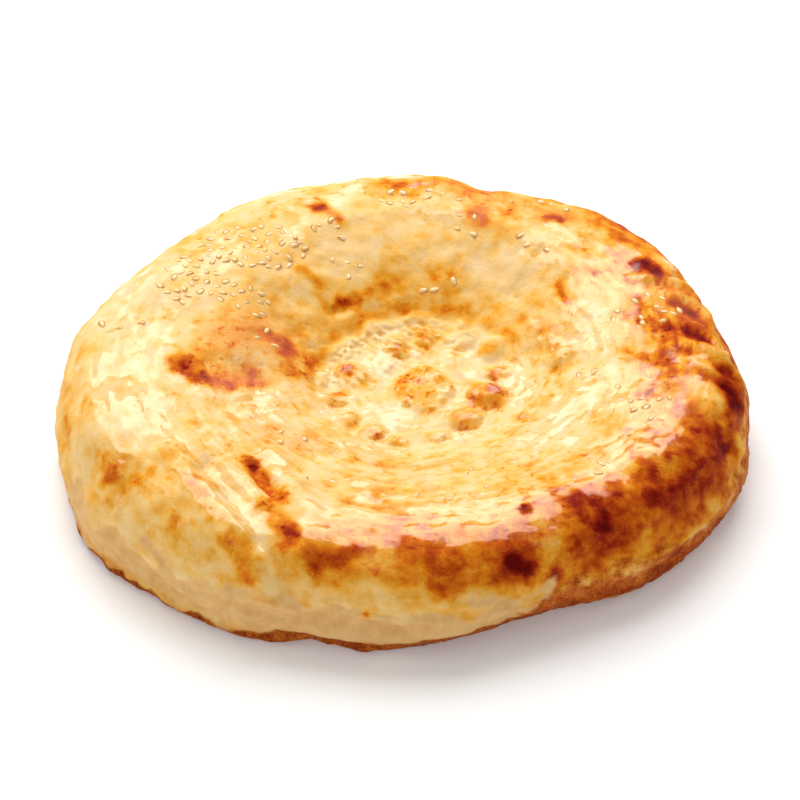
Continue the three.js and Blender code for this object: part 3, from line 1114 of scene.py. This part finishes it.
class Board:
    # Short words for wiring one material.
    def __init__(self, name):
        self.material = bpy.data.materials.new(name)
        self.material.use_nodes = True
        self.tree = self.material.node_tree
        self.shader = self.tree.nodes["Principled BSDF"]

    def feed(self, socket, value):
        if isinstance(value, bpy.types.NodeSocket):
            self.tree.links.new(value, socket)
        elif isinstance(value, tuple):
            socket.default_value = (*value, 1)
        else:
            socket.default_value = value

    def math(self, operation, a, b):
        node = addNode(self.tree, "ShaderNodeMath", operation=operation)
        self.feed(node.inputs[0], a)
        self.feed(node.inputs[1], b)
        return node.outputs[0]

    def total(self, start, *parts):
        # start, and each value times its share
        for value, share in parts:
            start = self.math("ADD", start, self.math("MULTIPLY", value, share))
        return start

    def mix(self, factor, a, b):
        node = addNode(self.tree, "ShaderNodeMix", data_type="RGBA", blend_type="MIX")
        self.feed(node.inputs["Factor"], factor)
        self.feed(node.inputs[6], a)
        self.feed(node.inputs[7], b)
        return node.outputs[2]

    def ramp(self, factor, stops):
        node = addNode(self.tree, "ShaderNodeValToRGB")
        elements = node.color_ramp.elements
        while len(elements) < len(stops):
            elements.new(0.5)
        for element, (position, colour) in zip(elements, stops):
            element.position = position
            element.color = (*colour, 1)
        self.feed(node.inputs[0], factor)
        return node.outputs[0]

    def span(self, value, low, high, toLow=0.0, toHigh=1.0):
        node = addNode(self.tree, "ShaderNodeMapRange", interpolation_type="SMOOTHSTEP")
        self.feed(node.inputs["Value"], value)
        for name, number in zip(("From Min", "From Max", "To Min", "To Max"), (low, high, toLow, toHigh)):
            node.inputs[name].default_value = number
        return node.outputs[0]

    def layer(self, name):
        return addNode(self.tree, "ShaderNodeAttribute", attribute_name=name).outputs["Fac"]

    def mottle(self, coarse, fine):
        node = self.tree.nodes.new("ShaderNodeGroup")
        node.node_tree = mottleGroup
        node.inputs["Coarse Size"].default_value = coarse
        node.inputs["Fine Size"].default_value = fine
        return node.outputs["Coarse"], node.outputs["Fine"]

    def streaks(self, pitch, length):
        stretch = addNode(self.tree, "ShaderNodeMapping", vector_type="TEXTURE")
        stretch.inputs["Scale"].default_value = (pitch, length, length)
        flow = addNode(self.tree, "ShaderNodeAttribute", attribute_name="flow").outputs["Vector"]
        self.tree.links.new(flow, stretch.inputs["Vector"])
        spots = addNode(self.tree, "ShaderNodeTexNoise", Scale=1.0, Detail=3.0, Roughness=0.6)
        self.tree.links.new(stretch.outputs["Vector"], spots.inputs["Vector"])
        return self.math("SUBTRACT", spots.outputs["Fac"], 0.5)

    def spots(self, size, detail=1.0):
        place = addNode(self.tree, "ShaderNodeTexCoord").outputs["Object"]
        spots = addNode(self.tree, "ShaderNodeTexNoise", Scale=1 / size, Detail=detail)
        self.tree.links.new(place, spots.inputs["Vector"])
        return self.math("SUBTRACT", spots.outputs["Fac"], 0.5)

    def bump(self, height, strength, distance):
        node = addNode(self.tree, "ShaderNodeBump", Strength=strength, Distance=distance)
        self.feed(node.inputs["Height"], height)
        self.feed(self.shader.inputs["Normal"], node.outputs["Normal"])


def layOver(board, colour, name, coarse, over):
    ragged, start, end = crustLook["borders"][name]
    share = board.span(board.total(board.layer(name), (coarse, ragged)), start, end)
    return board.mix(share, colour, over)


def makeCrustMaterial():
    board, look = Board("bakedCrust"), crustLook
    coarse, fine = board.mottle(look["mottleSize"], look["grainSize"])
    streaks = board.streaks(*look["streakSize"])
    toast = board.layer("toast")
    swing = board.total(look["swing"][0], (toast, look["swing"][1]))
    streakShare = board.math("MULTIPLY", board.layer("streaks"), look["streakShare"])
    flecks = board.span(board.spots(look["fleckSize"]), 0.1, 0.2)
    flecks = board.math("MULTIPLY", flecks, board.layer("flecks"))
    patches = board.span(board.spots(look["patchSize"], 3.0), 0.05, 0.11)
    brown = board.total(toast, (coarse, swing), (fine, look["grainShare"]), (streaks, streakShare))
    brown = board.total(brown, (flecks, look["fleckShare"]), (patches, look["patchShare"]))
    colour = board.ramp(brown, look["browning"])
    blush = board.math("MULTIPLY", board.layer("blush"), look["blushShare"])
    colour = board.mix(blush, colour, look["blush"])
    dough = board.mix(board.span(coarse, -0.2, 0.25), look["doughPale"], look["doughTan"])
    colour = layOver(board, colour, "dough", coarse, dough)
    sand = board.ramp(board.total(0.3, (coarse, 1.3), (fine, 0.9), (toast, 1.1)), look["sandTones"])
    colour = layOver(board, colour, "sand", coarse, sand)
    base = board.ramp(board.total(toast, (coarse, 0.7), (fine, 0.5)), look["undersideTones"])
    colour = board.mix(board.layer("underside"), colour, base)
    grains = board.span(board.total(fine, (coarse, 0.8)), -0.22, 0.3)
    skirt = board.mix(grains, look["skirtDark"], look["skirtPale"])
    colour = layOver(board, colour, "skirt", coarse, skirt)
    board.feed(board.shader.inputs["Base Color"], colour)
    shine = board.span(board.total(board.layer("glaze"), (coarse, 0.5)), 0.25, 0.75)
    roughness = board.span(shine, 0, 1, look["matteRoughness"], look["glossRoughness"])
    board.feed(board.shader.inputs["Roughness"], roughness)
    board.feed(board.shader.inputs["Coat Weight"], shine)
    board.shader.inputs["Specular IOR Level"].default_value = look["specular"]
    board.shader.inputs["Coat Roughness"].default_value = look["coatRoughness"]
    board.shader.inputs["Coat IOR"].default_value = look["coatIor"]
    relief = board.total(0.0, (coarse, 0.8), (fine, 0.35), (streaks, streakShare), (flecks, -0.3))
    board.bump(relief, look["reliefStrength"], look["reliefDepth"])
    return board.material


def makeSeedMaterial(name, look):
    board = Board(name)
    coarse, fine = board.mottle(look["mottleSize"], look["grainSize"])
    tone = board.total(look["middleTone"], (coarse, look["unevenness"]), (fine, 1.0))
    board.feed(board.shader.inputs["Base Color"], board.ramp(tone, look["tones"]))
    board.shader.inputs["Roughness"].default_value = look["roughness"]
    board.shader.inputs["Coat Weight"].default_value = 0.5
    board.shader.inputs["Coat Roughness"].default_value = 0.1
    board.bump(fine, look["reliefStrength"], look["reliefDepth"])
    return board.material


# Sesame seeds

seedLook = {
    "length": 3.3 * mm,
    "width": 2.15 * mm,
    "thickness": 1.1 * mm,
    "taper": 0.4,  # how much the tip is drawn in
    "sink": -0.16 * mm,  # how far the seed's middle stands above the crust
    "tilt": 12,  # degrees
    "sizeSpread": 0.17,
    "collar": 0.5 * mm,  # how far the ring of browned glaze, also painted shade round the seed's foot, reaches past the seed
    "collarLean": 0.1 * mm,  # how far its upper edge lies inside the seed's outline
    "collarTop": 0.25 * mm,
    "collarFoot": -0.35 * mm,
    "spacing": 2.7,
    "hull": {
        "tones": [
            (0.0, (0.75, 0.43, 0.12)),
            (0.35, (0.84, 0.57, 0.24)),
            (0.7, (0.88, 0.67, 0.34)),
            (1.0, (0.90, 0.75, 0.45)),
        ],
        "middleTone": 0.4,
        "unevenness": 1.6,
        "mottleSize": 6 * mm,
        "grainSize": 0.7 * mm,
        "roughness": 0.3,
        "reliefStrength": 0.25,
        "reliefDepth": 0.2 * mm,
    },
    # the collar's colours: browned glaze, also standing in for the seed's contact shade
    "glaze": {
        "tones": [
            (0.0, (0.60, 0.22, 0.02)),
            (0.5, (0.72, 0.36, 0.07)),
            (1.0, (0.80, 0.50, 0.16)),
        ],
        "middleTone": 0.5,
        "unevenness": 2,
        "mottleSize": 5 * mm,
        "grainSize": 0.6 * mm,
        "roughness": 0.25,
        "reliefStrength": 0.2,
        "reliefDepth": 0.1 * mm,
    },
    # where seeds lie beside those that the frame holds: x, y, half sizes, count
    "patches": [
        (-54, 57, 20, 12, 30),
        (-76, 37, 13, 14, 19),
        (-58, 30, 12, 7, 8),
        (-100, 20, 8, 12, 4),
        (-27, 69, 7, 5, 2),
        (6, 86, 20, 6, 8),
        (52, 80, 8, 5, 3),
        (12, 48, 18, 3, 3),
        (86, 20, 13, 10, 6),
        (66, -62, 4, 5, 3),
        (78, -22, 12, 12, 4),
        (60, -6, 6, 8, 2),
        (0, -60, 36, 16, 7),
        (-40, -36, 8, 5, 3),
    ],
}


def makeSeedShape():
    freshStart()
    bpy.ops.mesh.primitive_uv_sphere_add(segments=10, ring_count=7, radius=0.5)
    shape = bpy.context.object
    shape.name = "seedShape"
    editWhole()
    bpy.ops.transform.rotate(value=math.pi / 2, orient_axis="Y", center_override=(0, 0, 0))
    bpy.ops.transform.resize(value=(seedLook["length"], seedLook["width"], seedLook["thickness"]))
    bpy.ops.object.mode_set(mode="OBJECT")
    for vertex in shape.data.vertices:  # the tip is drawn in to a soft point
        share = vertex.co.x / seedLook["length"] + 0.5
        squeeze = 1 - seedLook["taper"] * share * share
        vertex.co.y *= squeeze
        vertex.co.z *= 0.4 + 0.6 * squeeze
    # the glaze that climbed up round it, darker than the seed and also painted shade where it meets the
    # crust: a low cone, wider than the seed, with its rim under the crust
    outline = [(v.co.x, v.co.y) for v in shape.data.vertices]
    bpy.ops.mesh.primitive_cone_add(vertices=12, radius1=1, radius2=0.7, depth=1, end_fill_type="NOTHING")
    collar = bpy.context.object
    for vertex in collar.data.vertices:
        high = vertex.co.z > 0
        bearing = math.atan2(vertex.co.y, vertex.co.x)
        reach = max(x * math.cos(bearing) + y * math.sin(bearing) for x, y in outline)
        reach += -seedLook["collarLean"] if high else seedLook["collar"]
        height = seedLook["collarTop"] if high else seedLook["collarFoot"]
        vertex.co = Vector((reach * math.cos(bearing), reach * math.sin(bearing), height))
    for piece in (shape, collar):
        piece.data.materials.append(seedMaterial)
        piece.data.materials.append(glazeAndShadeMaterial)
    for face in collar.data.polygons:
        face.material_index = 1
    shape.select_set(True)
    bpy.context.view_layer.objects.active = shape
    bpy.ops.object.join()
    shape.data.shade_smooth()
    return shape


def laySeed(shape, name, x, y, turn, random):
    place, normal, _, _ = crustTree.ray_cast(Vector((x, y, 200)), Vector((0, 0, -1)))
    tilt = 0.5 * math.tan(math.radians(seedLook["tilt"]))
    lean = Vector((random.gauss(0, 1), random.gauss(0, 1), 0)) * tilt
    upright = (normal + lean).normalized().to_track_quat("Z", "Y").to_matrix().to_4x4()
    size = 1 + random.uniform(-1, 1) * seedLook["sizeSpread"]
    rest = Matrix.Translation(place * mm + normal * seedLook["sink"])
    seed = bpy.data.objects.new(name, shape.data.copy())
    seed.data.transform(rest @ upright @ Matrix.Rotation(turn, 4, "Z") @ Matrix.Scale(size, 4))
    bpy.context.scene.collection.objects.link(seed)
    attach(seed, "root")
    return seed


def turnOf(node):
    corners = np.array([v.co for v in node.data.vertices])
    spread = (corners - corners.mean(0))[:, :2]
    across, along = np.linalg.eigh(spread.T @ spread)[1].T
    return math.atan2(along[1], along[0])


def scatterSeeds():
    dice = random.Random(4)
    shape = makeSeedShape()
    taken = []
    for name in sorted(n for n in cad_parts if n.startswith("sesame_seed")):
        low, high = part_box(name)
        middle = (low + high) / 2 / mm
        seed = laySeed(shape, name + "_glazed", middle.x, middle.y, turnOf(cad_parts[name]), dice)
        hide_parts(name)
        taken.append((middle.x, middle.y))
    for x, y, halfX, halfY, count in seedLook["patches"]:
        while count > 0:
            reach, bearing = math.sqrt(dice.random()), dice.uniform(0, 2 * math.pi)
            spot = (x + halfX * reach * math.cos(bearing), y + halfY * reach * math.sin(bearing))
            if all(math.dist(spot, other) > seedLook["spacing"] for other in taken):
                turn = dice.uniform(0, 2 * math.pi)
                laySeed(shape, f"sesame_seed_{len(taken) + 1:03d}", *spot, turn, dice)
                taken.append(spot)
                count -= 1
    bpy.data.objects.remove(shape)
    return len(taken)


mottleGroup = makeMottleGroup()
bread.data.materials.append(makeCrustMaterial())
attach(bread, "root")
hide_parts("flatbread")
seedMaterial = makeSeedMaterial("hulledSesame", seedLook["hull"])
glazeAndShadeMaterial = makeSeedMaterial("seedGlazeAndShade", seedLook["glaze"])
crustTree = treeOf(bread)
print("seeds laid:", scatterSeeds())
